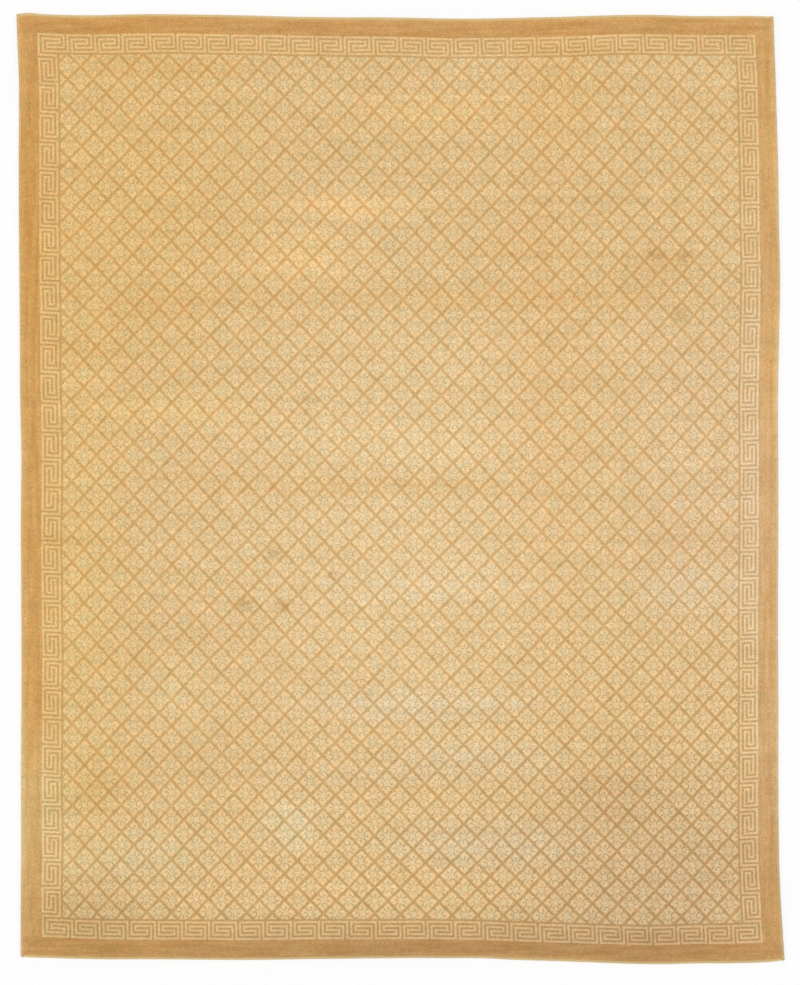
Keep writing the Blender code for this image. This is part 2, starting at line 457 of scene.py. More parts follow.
def tone_at(x, y, depth):
    """Factors on red, green and blue at each place: patches, weft drift, rim paleness and painted rim
    light.
    """
    tone = np.ones((len(x), 3))
    for patch in TONES + BANDS + RIM_TONES:
        reach = np.hypot((x - patch.x) / patch.across, (y - patch.y) / patch.along)
        tone *= 1 + smooth_step(1 - reach)[:, None] * (np.array(patch[4:]) - 1)
    # Paler wool at the rim, and painted light that lifts the shade of the pile's rounded rim.
    rim = smooth_step((RIM_PALENESS_AND_PAINTED_LIGHT_DEPTH - depth) / (RIM_PALENESS_AND_PAINTED_LIGHT_DEPTH - RIM_PALENESS_AND_PAINTED_LIGHT_FROM))
    tone *= 1 + rim[:, None] * (np.array(RIM_PALENESS_AND_PAINTED_LIGHT) - 1)
    drift = sum((wander(x / d.stretch, y, d.size, d.reach, d.layer) for d in DRIFTS), 1.0)
    return tone * drift[:, None] ** np.array(DRIFT_POWERS)


def stain_at(x, y):
    """Strength of the small stains at each place."""
    strength = np.zeros(len(x))
    for stain in STAINS:
        reach = np.hypot((x - stain.x) / stain.across, (y - stain.y) / stain.along)
        strength = np.maximum(strength, stain.strength * smooth_step(1 - reach))
    return strength


def hold(mesh, name, kind, values):
    """Keeps numbers on each point of a mesh for its material to read."""
    layer = mesh.attributes.new(name, kind, "POINT")
    layer.data.foreach_set("value" if kind == "FLOAT" else "vector", values.astype(np.float32).ravel())


def add_map(mesh, name, u, v):
    """Adds a map that holds two numbers for each point of a mesh."""
    corners = np.empty(len(mesh.loops), dtype=np.int32)
    mesh.loops.foreach_get("vertex_index", corners)
    layer = mesh.uv_layers.new(name=name)
    layer.uv.foreach_set("vector", np.stack([u, v], 1)[corners].astype(np.float32).ravel())


def design_maps(mesh):
    """Adds the maps of border cells and of lattice halves, and the slow tones, to a mesh."""
    points = np.empty(len(mesh.vertices) * 3)
    mesh.vertices.foreach_get("co", points)
    x, y = points.reshape(-1, 3)[:, 0], points.reshape(-1, 3)[:, 1]
    across, down = shares_of(x, y)
    width = read("right", down) - read("left", down)
    length = read("far", across) - read("near", across)
    edge = BINDING_WIDTH
    cells_x = cells_from_edges(
        across * width + edge, (1 - across) * width + edge, SIDES["left"], SIDES["right"], down,
        CELLS_HALF_ACROSS,
    )
    cells_y = -cells_from_edges(
        down * length, (1 - down) * length, SIDES["far"], SIDES["near"], across, CELLS_HALF_ALONG,
    )
    far_drift, near_drift, left_drift, right_drift = (
        even_places(SIDES[name].drift, share, DRIFT_SPAN)
        for name, share in (("far", across), ("near", across), ("left", down), ("right", down))
    )
    cells_x = cells_x + far_drift + (near_drift - far_drift) * down
    cells_y = cells_y + left_drift + (right_drift - left_drift) * across
    size_x, size_y = WANDER_SIZES
    halves_x = lattice_count(HALVES_ACROSS, x, y) + LATTICE_SHIFT[0]
    halves_y = lattice_count(HALVES_DOWN, x, y) + LATTICE_SHIFT[1]
    halves_x = halves_x + wander(x, y, size_x, LATTICE_WANDER, 3.0)
    halves_y = halves_y + wander(x, y, size_y, LATTICE_WANDER, 7.0)
    depth = np.minimum(
        np.minimum(across, 1 - across) * width + edge, np.minimum(down, 1 - down) * length,
    )
    hold(mesh, "tone", "FLOAT_VECTOR", tone_at(x, y, depth))
    hold(mesh, "stain", "FLOAT", stain_at(x, y))
    cells_x = cells_x + wander(x, y, size_x, CELL_WANDER, 11.0)
    cells_y = cells_y + wander(x, y, size_y, CELL_WANDER, 15.0)
    add_map(mesh, "Cells", cells_x, cells_y)
    add_map(mesh, "Halves", halves_x, halves_y)


# Meshes.


def grid_faces(columns, rows, flip=False):
    """Quads over a grid of points numbered row by row."""
    row, column = np.meshgrid(np.arange(rows - 1), np.arange(columns - 1), indexing="ij")
    first = (row * columns + column).ravel()
    quads = np.stack([first, first + columns, first + columns + 1, first + 1], 1)
    return quads[:, ::-1] if flip else quads


def make_piece(name, points, faces, materials):
    mesh = bpy.data.meshes.new(name)
    mesh.from_pydata(points.tolist(), [], faces if isinstance(faces, list) else faces.tolist())
    mesh.update()
    mesh.shade_smooth()
    for material in materials:
        mesh.materials.append(material)
    piece = bpy.data.objects.new(name, mesh)
    bpy.context.scene.collection.objects.link(piece)
    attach(piece, "root")
    return piece


def shares_with_edges(total, depths, pitch):
    """Shares of a length: the given depths at both ends, and an even pitch between them."""
    count = max(round((total - 2 * depths[-1]) / pitch), 1)
    inner = np.linspace(depths[-1], total - depths[-1], count + 1)[1:-1]
    return np.concatenate([depths, inner, total - np.array(depths)[::-1]]) / total


PILE_DEPTHS = np.array([0.0, 1.0, 2.5, 4.5, 7.0, 11.0]) * MM
PILE_HEIGHTS = np.array([3.6, 5.6, 7.7, 9.4, 10.5, 11.0]) * MM


def pile_surface(material):
    """The clipped pile as one open sheet, rounded down to the foundation at its rim."""
    columns = shares_with_edges(PANEL_WIDTH, PILE_DEPTHS, GRID_PITCH)
    web = WEB_DEPTH / PANEL_LENGTH
    rows = web + (1 - 2 * web) * shares_with_edges(PANEL_LENGTH - 2 * WEB_DEPTH, PILE_DEPTHS, GRID_PITCH)
    down, across = (grid.ravel() for grid in np.meshgrid(rows, columns, indexing="ij"))
    x, y = place_of(across, down)
    from_side = np.minimum(across, 1 - across) * PANEL_WIDTH
    from_end = np.minimum(down - web, 1 - web - down) * PANEL_LENGTH
    depth = np.minimum(from_side, from_end)
    z = np.interp(depth, PILE_DEPTHS, PILE_HEIGHTS)
    waves_across, waves_down = SWELL_WAVES
    swell = SWELL * np.sin(2 * pi * waves_across * across + 1.0) * np.cos(2 * pi * waves_down * down)
    inside = np.clip(depth / PILE_DEPTHS[-1], 0, 1)
    nap = wander(x, y, *COARSE_NAP, 21.0) + wander(x, y, *FINE_NAP, 25.0)
    z = z + inside * (swell + nap)
    piece = make_piece("pile", np.stack([x, y, z], 1), grid_faces(len(columns), len(rows)), [material])
    design_maps(piece.data)
    add_map(piece.data, "OFBake", across, 1 - down)
    return piece


TUFT_SIDES = 5
TUFT_ROWS = ((1.4 * MM, 6.6 * MM, 0.12), (4.2 * MM, 9.5 * MM, 0.05))   # depth in, height and outward lean
TUFT_FOOT_RADIUS = 1.15 * MM
TUFT_TOP_RADIUS = 1.60 * MM
TUFT_TIP = 0.55 * MM
TUFT_STRAYING = 0.22 * MM
TUFT_HEIGHT_SPREAD = 0.30 * MM
TUFT_LEAN_SPREAD = 0.07


def rim_places(depth, random):
    """Places one knot apart round the pile at a depth in from its rim, with the outward directions."""
    web = WEB_DEPTH / PANEL_LENGTH
    inset_x, inset_y = depth / PANEL_WIDTH, depth / PANEL_LENGTH
    low, high = web + inset_y, 1 - web - inset_y
    sides = []
    down = np.linspace(low, high, round(PANEL_LENGTH / KNOT))
    for across, outward in ((inset_x, -1.0), (1 - inset_x, 1.0)):
        sides.append((np.full_like(down, across), down, outward, 0.0))
    across = np.linspace(inset_x, 1 - inset_x, round(PANEL_WIDTH / KNOT))
    for down_share, outward in ((low, 1.0), (high, -1.0)):
        sides.append((across, np.full_like(across, down_share), 0.0, outward))
    for across, down, out_x, out_y in sides:
        x, y = place_of(across, down)
        shift = random.normal(0.0, TUFT_STRAYING, (2, len(x)))
        yield x + shift[0], y + shift[1], out_x, out_y


def tuft_ring(x, y, z, radius, spin):
    """A ring of points round every tuft."""
    angle = spin[:, None] + np.arange(TUFT_SIDES) * 2 * pi / TUFT_SIDES
    ring_x = x[:, None] + radius * np.cos(angle)
    ring_y = y[:, None] + radius * np.sin(angle)
    return np.stack([ring_x, ring_y, np.repeat(z[:, None], TUFT_SIDES, 1)], 2)


def tuft_faces(foot):
    """The sides and the tip of one tuft, whose foot, top and tip follow each other from this point."""
    top, tip = foot + TUFT_SIDES, foot + 2 * TUFT_SIDES
    faces = []
    for i in range(TUFT_SIDES):
        j = (i + 1) % TUFT_SIDES
        faces.append((foot + i, foot + j, top + j, top + i))
        faces.append((top + i, top + j, tip))
    return faces


def rim_tufts(material):
    """Cut tufts round the pile's rim, two knots deep, each a flared stub with a rounded tip."""
    random = np.random.default_rng(5)
    points = []
    for depth, height, lean in TUFT_ROWS:
        for x, y, out_x, out_y in rim_places(depth, random):
            count = len(x)
            top = height + random.normal(0.0, TUFT_HEIGHT_SPREAD, count)
            spin = random.uniform(0, 2 * pi, count)
            leaning = lean + random.normal(0.0, TUFT_LEAN_SPREAD, count)
            sideways = random.normal(0.0, TUFT_LEAN_SPREAD, count)
            rise = top - PILE_FOOT
            top_x = x + rise * (leaning * out_x + sideways * abs(out_y))
            top_y = y + rise * (leaning * out_y + sideways * abs(out_x))
            foot_ring = tuft_ring(x, y, np.full(count, PILE_FOOT), TUFT_FOOT_RADIUS, spin)
            top_ring = tuft_ring(top_x, top_y, top, TUFT_TOP_RADIUS, spin)
            tip = top_ring.mean(axis=1, keepdims=True) + np.array([0.0, 0.0, TUFT_TIP])
            points.append(np.concatenate([foot_ring, top_ring, tip], axis=1).reshape(-1, 3))
    points = np.concatenate(points)
    faces = [face for foot in range(0, len(points), 2 * TUFT_SIDES + 1) for face in tuft_faces(foot)]
    piece = make_piece("pile_rim_tufts", points, faces, [material])
    design_maps(piece.data)
    return piece


HEM_DEPTHS = np.array([0.0, 0.35, 1.0, 2.2, 4.0, 6.2, 8.5, 11.0, 14.0]) * MM
HEM_HEIGHTS = np.array([1.6, 2.7, 3.5, 4.0, 4.1, 4.3, 4.1, 3.4, 3.0]) * MM
SIDE_DEPTHS = np.array([0.0, 0.4, 1.2, 3.0]) * MM
SIDE_HEIGHTS = np.array([1.6, 2.4, 2.9, 3.0]) * MM
HEM_OVER_SIDE = 1.4 * MM     # the most that a hem stands above the foundation's own sides
WEAVE_PITCH = (9.0 * MM, 60.0 * MM)
HEM_REACH = 12 * MM          # the hem's unevenness fades out over this depth
HEM_BUMPS = (16 * MM, 0.35 * MM)
HEM_INDENTS = (13 * MM, 0.7 * MM)


def foundation(web_material, back_material):
    """The woven foundation: a thin closed sheet whose ends show past the pile as turned hems."""
    columns = shares_with_edges(PANEL_WIDTH, SIDE_DEPTHS, WEAVE_PITCH[0])
    rows = shares_with_edges(PANEL_LENGTH, HEM_DEPTHS, WEAVE_PITCH[1])
    down, across = (grid.ravel() for grid in np.meshgrid(rows, columns, indexing="ij"))
    x, y = place_of(across, down)
    from_end = np.minimum(down, 1 - down) * PANEL_LENGTH
    from_side = np.minimum(across, 1 - across) * PANEL_WIDTH
    hem = np.interp(from_end, HEM_DEPTHS, HEM_HEIGHTS)
    z = np.minimum(hem, np.interp(from_side, SIDE_DEPTHS, SIDE_HEIGHTS) + HEM_OVER_SIDE)
    outer = np.clip(1 - from_end / HEM_REACH, 0, 1)
    z = z + outer * wander(x, y, *HEM_BUMPS, 31.0)
    y = y + np.sign(y) * np.minimum(outer * wander(x, y * 0, *HEM_INDENTS, 35.0), 0.0)
    top = np.stack([x, y, z], 1)
    floor = np.stack([x, y, np.zeros_like(z)], 1)
    wide, long = len(columns), len(rows)
    count = wide * long
    index = np.arange(count).reshape(long, wide)
    loop = np.concatenate([index[0, :-1], index[:-1, -1], index[-1, :0:-1], index[:0:-1, 0]])
    after = np.roll(loop, -1)
    wall = np.stack([loop, after, after + count, loop + count], 1)
    upper, under = grid_faces(wide, long), grid_faces(wide, long, flip=True) + count
    faces = np.concatenate([upper, under, wall])
    piece = make_piece("foundation", np.concatenate([top, floor]), faces, [web_material, back_material])
    sides = np.repeat([0, 1, 0], [len(upper), len(under), len(wall)])
    piece.data.polygons.foreach_set("material_index", sides)
    design_maps(piece.data)
    return piece


WRAP_SECTION_POINTS = 12
BINDING_TUCK = 2.2 * MM      # how far the turns reach in under the leaning pile
END_ROUNDING = 3.5 * MM      # the yarn draws in over this length at the corners
WRAP_MIDDLE = 0.46           # height of the tube's middle, as a share of its top
WRAP_HOLLOW = 0.75 * MM      # depth of the hollow between two turns
WRAP_LOOSENESS = 0.12 * MM
WRAP_FULLNESS = 0.7          # a lower power gives fuller turns
LEAST_HEIGHT = 0.05 * MM


def overcast_side(name, node, on_left, material):
    """Yarn wrapped over the edge warps: a flattened tube ridged by its slanting turns."""
    random = np.random.default_rng(11 if on_left else 12)
    low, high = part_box(node)
    steps = round(PANEL_LENGTH / WRAP_PITCH * WRAP_STEPS)
    down = np.linspace(0.0, 1.0, steps + 1)
    x, y = place_of(np.full_like(down, 0.0 if on_left else 1.0), down)
    half_width = (BINDING_WIDTH + BINDING_TUCK) / 2
    x = x + (BINDING_TUCK - half_width) * (1 if on_left else -1)
    height = high[2] - low[2]
    centre_z = height * WRAP_MIDDLE
    turns = np.arange(WRAP_SECTION_POINTS) * 2 * pi / WRAP_SECTION_POINTS
    phase = np.arange(steps + 1)[:, None] / WRAP_STEPS + 0.5 * turns[None, :] / (2 * pi)
    loose = random.normal(0.0, WRAP_LOOSENESS, steps // WRAP_STEPS + 3)
    turn_number = np.floor(phase).astype(int)
    ridge = np.abs(np.sin(pi * phase)) ** WRAP_FULLNESS
    draw_in = (1 - ridge) * WRAP_HOLLOW - loose[turn_number] * ridge
    ring_x = (half_width - draw_in) * np.cos(turns)
    ring_z = centre_z + (height - centre_z - draw_in) * np.sin(turns)
    ring_z = np.maximum(ring_z, LEAST_HEIGHT)
    from_end = np.minimum(down, 1 - down)[:, None] * PANEL_LENGTH
    rounding = np.sqrt(1 - np.clip(1 - from_end / END_ROUNDING, 0, 0.8) ** 2)
    ring_x, ring_z = ring_x * rounding, ring_z * rounding
    points = np.stack([x[:, None] + ring_x, np.repeat(y[:, None], len(turns), 1), ring_z], 2)
    ring = len(turns)
    row, spot = np.meshgrid(np.arange(steps), np.arange(ring), indexing="ij")
    a, b = row * ring + spot, row * ring + (spot + 1) % ring
    quads = np.stack([a, b, b + ring, a + ring], 2).reshape(-1, 4)
    faces = quads.tolist()
    faces.append(list(range(ring - 1, -1, -1)))
    faces.append(list(range(steps * ring, steps * ring + ring)))
    piece = make_piece(name, points.reshape(-1, 3), faces, [material])
    mesh = piece.data
    flat_x, flat_y = points[:, :, 0].ravel(), points[:, :, 1].ravel()
    # The yarn takes the slow tones but none of the rim's paleness and painted light.
    hold(mesh, "tone", "FLOAT_VECTOR", tone_at(flat_x, flat_y, np.full_like(flat_x, RIM_PALENESS_AND_PAINTED_LIGHT_DEPTH)))
    add_map(mesh, "Turns", phase.ravel(), np.repeat(turns[None, :], steps + 1, 0).ravel())
    return piece


# Materials.


class Shader:
    """One node material. Each call lays a node and returns the output it makes."""

    def __init__(self, name, roughness, sheen):
        self.material = bpy.data.materials.new(name)
        self.material.use_nodes = True
        self.tree = self.material.node_tree
        self.surface = self.tree.nodes["Principled BSDF"]
        self.surface.inputs["Roughness"].default_value = roughness
        self.surface.inputs["Specular IOR Level"].default_value = 0.15
        self.surface.inputs["Sheen Weight"].default_value = sheen
        self.surface.inputs["Sheen Roughness"].default_value = 0.6

    def put(self, value, socket):
        if isinstance(value, bpy.types.NodeSocket):
            self.tree.links.new(value, socket)
        elif value is not None:
            socket.default_value = value

    def node(self, kind, **settings):
        made = self.tree.nodes.new("ShaderNode" + kind)
        for name, value in settings.items():
            setattr(made, name, value)
        return made

    def math(self, operation, *values, clamp=False):
        made = self.node("Math", operation=operation, use_clamp=clamp)
        for socket, value in zip(made.inputs, values):
            self.put(value, socket)
        return made.outputs[0]

    def vector(self, operation, *values):
        made = self.node("VectorMath", operation=operation)
        for socket, value in zip(made.inputs, values):
            self.put(value, socket)
        return made.outputs["Value" if operation in ("LENGTH", "DOT_PRODUCT") else "Vector"]

    def mix(self, share, a, b, blend="MIX"):
        made = self.node("Mix", data_type="RGBA", blend_type=blend)
        self.put(share, made.inputs[0])
        self.put(a if isinstance(a, bpy.types.NodeSocket) else (*a, 1.0), made.inputs[6])
        self.put(b if isinstance(b, bpy.types.NodeSocket) else (*b, 1.0), made.inputs[7])
        return made.outputs[2]

    def either(self, share, a, b):
        """One number or another, by a share of 0 or 1."""
        made = self.node("Mix", data_type="FLOAT")
        for socket, value in zip((made.inputs[0], made.inputs[2], made.inputs[3]), (share, a, b)):
            self.put(value, socket)
        return made.outputs[0]

    def map(self, name):
        """The two numbers that a map holds."""
        return self.split(self.node("UVMap", uv_map=name).outputs[0])[:2]

    def split(self, place):
        """The three numbers of a place."""
        made = self.node("SeparateXYZ")
        self.put(place, made.inputs[0])
        return made.outputs

    def join(self, x, y, z=0.0):
        made = self.node("CombineXYZ")
        for socket, value in zip(made.inputs, (x, y, z)):
            self.put(value, socket)
        return made.outputs[0]

    def noise(self, place, scale, detail=2.0, roughness=0.5):
        made = self.node("TexNoise")
        self.put(place, made.inputs["Vector"])
        made.inputs["Scale"].default_value = scale
        made.inputs["Detail"].default_value = detail
        made.inputs["Roughness"].default_value = roughness
        return made.outputs["Fac"]

    def held(self, name, output="Vector"):
        """What the mesh holds under this name."""
        return self.node("Attribute", attribute_name=name).outputs[output]

    def speck(self, place):
        """A random number for each whole-number place."""
        made = self.node("TexWhiteNoise", noise_dimensions="3D")
        self.put(place, made.inputs["Vector"])
        return made.outputs["Value"]

    def span(self, value, low, high, to_low=0.0, to_high=1.0):
        """A value between low and high, as a number between two others, and never past them."""
        made = self.node("MapRange")
        for socket, number in zip(made.inputs, (value, low, high, to_low, to_high)):
            self.put(number, socket)
        return made.outputs[0]

    def swell(self, place, kind, least=0.0, most=1.0):
        """One of the named noises, from its least to its most."""
        made = self.noise(place, kind.per_metre, kind.detail, kind.roughness)
        return self.span(made, kind.low, kind.high, least, most)

    def streaks(self, place, per_metre):
        return self.noise(self.vector("MULTIPLY", place, per_metre), 1.0, STREAK_DETAIL, STREAK_ROUGHNESS)

    def place(self):
        return self.node("TexCoord").outputs["Object"]

    def bump(self, height, distance, strength):
        made = self.node("Bump")
        made.inputs["Strength"].default_value = strength
        made.inputs["Distance"].default_value = distance
        self.put(height, made.inputs["Height"])
        self.put(made.outputs[0], self.surface.inputs["Normal"])


def below(s, value, limit):
    return s.math("LESS_THAN", value, limit)


MARKS = {"#": 1.0, "o": 1.0, "+": 0.5, ".": 0.0}   # "+" is a knot of both wools


def chart_row(s, text, share):
    """How dark this row of the chart is, at a share along the repeat."""
    ramp = s.node("ValToRGB")
    ramp.color_ramp.interpolation = "CONSTANT"
    stops = ramp.color_ramp.elements
    stops.remove(stops[1])
    stops[0].position = 0.0
    stops[0].color = (MARKS[text[0]],) * 3 + (1.0,)
    for i in range(1, len(text)):
        if text[i] != text[i - 1]:
            stops.new(i / len(text)).color = (MARKS[text[i]],) * 3 + (1.0,)
    s.put(share, ramp.inputs[0])
    return ramp.outputs["Color"]


def charted(s, chart, first_row, step, share, row):
    """1 where the chart has a mark, for rows numbered from the first one by the step."""
    marks = 0.0
    for index, text in enumerate(chart):
        is_row = s.math("COMPARE", row, float(first_row + index * step), 0.5)
        marks = s.math("MULTIPLY_ADD", chart_row(s, text, share), is_row, marks)
    return marks


def key_border(s, ring_x, ring_y, cells_x, cells_y):
    """Light lines of the key border. The far and near borders run full width, the sides between them."""
    in_ends = below(s, ring_y, BORDER_CELLS)
    row = s.math("FLOOR", s.either(in_ends, ring_x, ring_y))
    along_end = s.math("SUBTRACT", CELLS_HALF_ACROSS, s.math("ABSOLUTE", cells_x))
    along_side = s.math("ADD", s.math("ABSOLUTE", cells_y), 1.5)
    along = s.either(in_ends, along_side, along_end)
    share = s.math("DIVIDE", s.math("FLOORED_MODULO", along, UNIT_CELLS), UNIT_CELLS)
    marks = charted(s, KEY_CHART, 0, 1, share, row)
    corner = s.math("MULTIPLY", below(s, ring_x, 1.0), s.math("COMPARE", ring_y, BORDER_CELLS - 0.5, 0.5))
    return s.math("MAXIMUM", marks, corner, clamp=True)


def in_diamond(s, knot_x, knot_y):
    """How far a knot lies to the right of and below its diamond's middle, in half diamonds."""
    halves_x = s.math("DIVIDE", knot_x, KNOTS_PER_HALF_DIAMOND)
    halves_y = s.math("DIVIDE", knot_y, KNOTS_PER_HALF_DIAMOND)
    one = s.math("MULTIPLY", s.math("ADD", halves_x, halves_y), 0.5)
    two = s.math("MULTIPLY", s.math("SUBTRACT", halves_x, halves_y), 0.5)
    a = s.math("SUBTRACT", s.math("FRACT", one), 0.5)
    b = s.math("SUBTRACT", s.math("FRACT", two), 0.5)
    return s.math("ADD", a, b), s.math("SUBTRACT", a, b)


def curl_marks(s, right, down):
    """Knots of the four curls, at a place in the diamond."""
    wide, tall = s.math("ABSOLUTE", right), s.math("ABSOLUTE", down)
    upright = s.math("GREATER_THAN", tall, wide)
    turned_flat = s.math("MULTIPLY", s.math("SIGN", right), down)
    turned_tall = s.math("MULTIPLY", s.math("MULTIPLY", s.math("SIGN", down), -1.0), right)
    column = s.math("MULTIPLY", s.either(upright, turned_flat, turned_tall), KNOTS_PER_HALF_DIAMOND)
    row = s.math("MULTIPLY", s.math("MAXIMUM", wide, tall), KNOTS_PER_HALF_DIAMOND)
    width = len(CURL_CHART[0])
    share = s.math("DIVIDE", s.math("ADD", column, width / 2), width)
    return charted(s, CURL_CHART, CURL_TOP_ROW, -1, share, row)


def clearer(s, near, colour, tint):
    """A colour with the tint that it takes towards the near end."""
    return s.mix(near, colour, s.mix(1.0, colour, tint, "MULTIPLY"))


def field_colour(s, place, knots, near):
    """The lattice, its curls and the light ground, which is paler towards each diamond's middle."""
    right, down = in_diamond(s, *knots)
    wide, tall = s.math("ABSOLUTE", right), s.math("ABSOLUTE", down)
    outward = s.span(s.math("MAXIMUM", wide, tall), *MIDDLE_SPAN)
    light = s.mix(outward, linear(MIDDLE_WOOL), linear(LIGHT_WOOL))
    chance = s.speck(s.join(*knots, 9.0))
    clear = s.math("MULTIPLY", s.swell(place, WEAR, *CURL_WEAR), s.span(chance, 0.0, 1.0, *CURL_STRENGTHS))
    curl = s.math("MULTIPLY", curl_marks(s, right, down), clear, clamp=True)
    out = s.math("MULTIPLY", s.math("ADD", wide, tall), KNOTS_PER_HALF_DIAMOND)
    out = s.math("ADD", out, s.span(chance, 0.0, 1.0, -LINE_JAGS, LINE_JAGS))
    line = s.mix(s.swell(place, DYE), linear(LATTICE_DEEP_WOOL), linear(LATTICE_WOOL))
    light = clearer(s, near, light, NEAR_LIGHT_TINT)
    curled = s.mix(curl, light, clearer(s, near, linear(CURL_WOOL), NEAR_DARK_TINT))
    return s.mix(s.span(out, LINE_FROM, LINE_FULL), curled, clearer(s, near, line, NEAR_DARK_TINT))


def knot_grid(s, place):
    """The knot that a place belongs to, as whole numbers, and the place within it from -0.5 to 0.5."""
    halves_x, halves_y = s.map("Halves")
    fray = s.swell(place, FRAY, -0.5, 0.5)
    knots, within = [], []
    for halves, apart in ((halves_x, 0.0), (halves_y, 5.0)):
        sway = s.swell(s.vector("ADD", place, (apart, apart, 0.0)), SWAY, -KNOT_SWAY / 2, KNOT_SWAY / 2)
        count = s.math("MULTIPLY_ADD", halves, float(KNOTS_PER_HALF_DIAMOND), sway)
        count = s.math("MULTIPLY_ADD", fray, KNOT_FRAY, count)
        knot = s.math("FLOOR", s.math("ADD", count, 0.5))
        knots.append(knot)
        within.append(s.math("SUBTRACT", count, knot))
    return knots, within


def woven_colour(s, place, knots):
    """Colour of the design at every knot, with the dye's unevenness, the wear, the stains and the painted
    rim light.
    """
    fray = s.swell(place, FRAY, -0.5, 0.5)
    cells_x, cells_y = s.map("Cells")
    soft_x = s.math("MULTIPLY_ADD", fray, CELL_FRAY, cells_x)
    soft_y = s.math("MULTIPLY_ADD", fray, CELL_FRAY, cells_y)
    ring_x = s.math("SUBTRACT", CELLS_HALF_ACROSS, s.math("ABSOLUTE", soft_x))
    ring_y = s.math("SUBTRACT", CELLS_HALF_ALONG, s.math("ABSOLUTE", soft_y))
    ring = s.math("MINIMUM", ring_x, ring_y)
    key = key_border(s, ring_x, ring_y, soft_x, soft_y)
    near = s.span(s.vector("DOT_PRODUCT", place, NEAR_WAY), *NEAR_SPAN)
    field = field_colour(s, place, knots, near)
    near = s.math("MULTIPLY", near, NEAR_BORDER_SHARE)
    key_dark = clearer(s, near, linear(KEY_DARK_WOOL), NEAR_DARK_TINT)
    border = s.mix(key, key_dark, clearer(s, near, linear(KEY_LIGHT_WOOL), NEAR_LIGHT_TINT))
    colour = s.mix(s.math("GREATER_THAN", ring, float(BORDER_CELLS)), border, field)
    colour = s.mix(below(s, ring, 0.0), colour, band_colour(s, place, below(s, ring_y, 0.0)))
    return weathered_with_painted_rim_light(s, colour, place, knots)


def band_colour(s, place, in_ends):
    """The plain band, streaked along its length."""
    at_ends, at_sides = s.streaks(place, END_STREAKS), s.streaks(place, SIDE_STREAKS)
    streak = s.span(s.either(in_ends, at_sides, at_ends), *STREAK_SPAN)
    colour = s.mix(streak, linear(BAND_DEEP_WOOL), linear(BAND_WOOL))
    return s.mix(in_ends, colour, s.mix(1.0, colour, END_BAND_TINT, "MULTIPLY"))


def weathered_with_painted_rim_light(s, colour, place, knots):
    """The mesh's slow tones, painted rim light among them, and the finer unevenness of dye, of single knots
    and of fibres.
    """
    colour = s.mix(1.0, colour, s.held("tone"), "MULTIPLY")
    stained = s.mix(1.0, colour, STAIN_COLOUR, "MULTIPLY")
    patchy = s.math("MULTIPLY", s.held("stain", "Fac"), s.swell(place, STAIN_EDGE))
    colour = s.mix(patchy, colour, stained)
    colour = s.mix(s.swell(place, DULLING), colour, s.mix(1.0, colour, DULL, "MULTIPLY"))
    rosy = s.mix(1.0, colour, ROSY, "MULTIPLY")
    greenish = s.mix(1.0, colour, GREENISH, "MULTIPLY")
    elsewhere = s.vector("ADD", place, (7.0, 3.0, 0.0))
    colour = s.mix(s.swell(elsewhere, HUE), greenish, rosy)
    shade = s.span(s.speck(s.join(*knots)), 0.0, 1.0, *KNOT_SHADES)
    shade = s.math("MULTIPLY", shade, s.swell(place, FIBRE, *FIBRE_SHADES))
    shade = s.math("MULTIPLY", shade, s.swell(place, GRAIN, *GRAIN_SHADES))
    return s.mix(1.0, colour, s.join(shade, shade, shade), "MULTIPLY")


def pile_material():
    s = Shader("cut_wool_pile", roughness=0.95, sheen=0.20)
    place = s.place()
    knots, within = knot_grid(s, place)
    s.put(woven_colour(s, place, knots), s.surface.inputs["Base Color"])
    dome = s.span(s.vector("LENGTH", s.join(*within)), *DOME_SPAN)
    height = s.math("MULTIPLY", dome, DOME_RISE)
    height = s.math("MULTIPLY_ADD", s.speck(s.join(*knots, 5.0)), CHANCE_RISE, height)
    height = s.math("MULTIPLY_ADD", s.swell(place, FUZZ), FUZZ_RISE, height)
    height = s.math("MULTIPLY_ADD", s.swell(place, TUFTING), TUFTING_RISE, height)
    s.bump(height, PILE_RELIEF, strength=0.55)
    return s.material


def back_material():
    """The underside: the same design, a little paler, in flat knot backs with two beads to a knot."""
    s = Shader("knotted_back", roughness=0.95, sheen=0.05)
    place = s.place()
    knots, within = knot_grid(s, place)
    colour = s.mix(BACK_PALENESS, woven_colour(s, place, knots), linear(BACK_WOOL))
    s.put(colour, s.surface.inputs["Base Color"])
    across, along = within
    bead = s.math("SUBTRACT", s.math("ABSOLUTE", across), 0.25)
    hollow = s.math("ADD", s.math("MULTIPLY", s.math("ABSOLUTE", bead), 2.0), s.math("ABSOLUTE", along))
    s.bump(s.math("SUBTRACT", 1.0, hollow), BACK_RELIEF, strength=0.8)
    return s.material


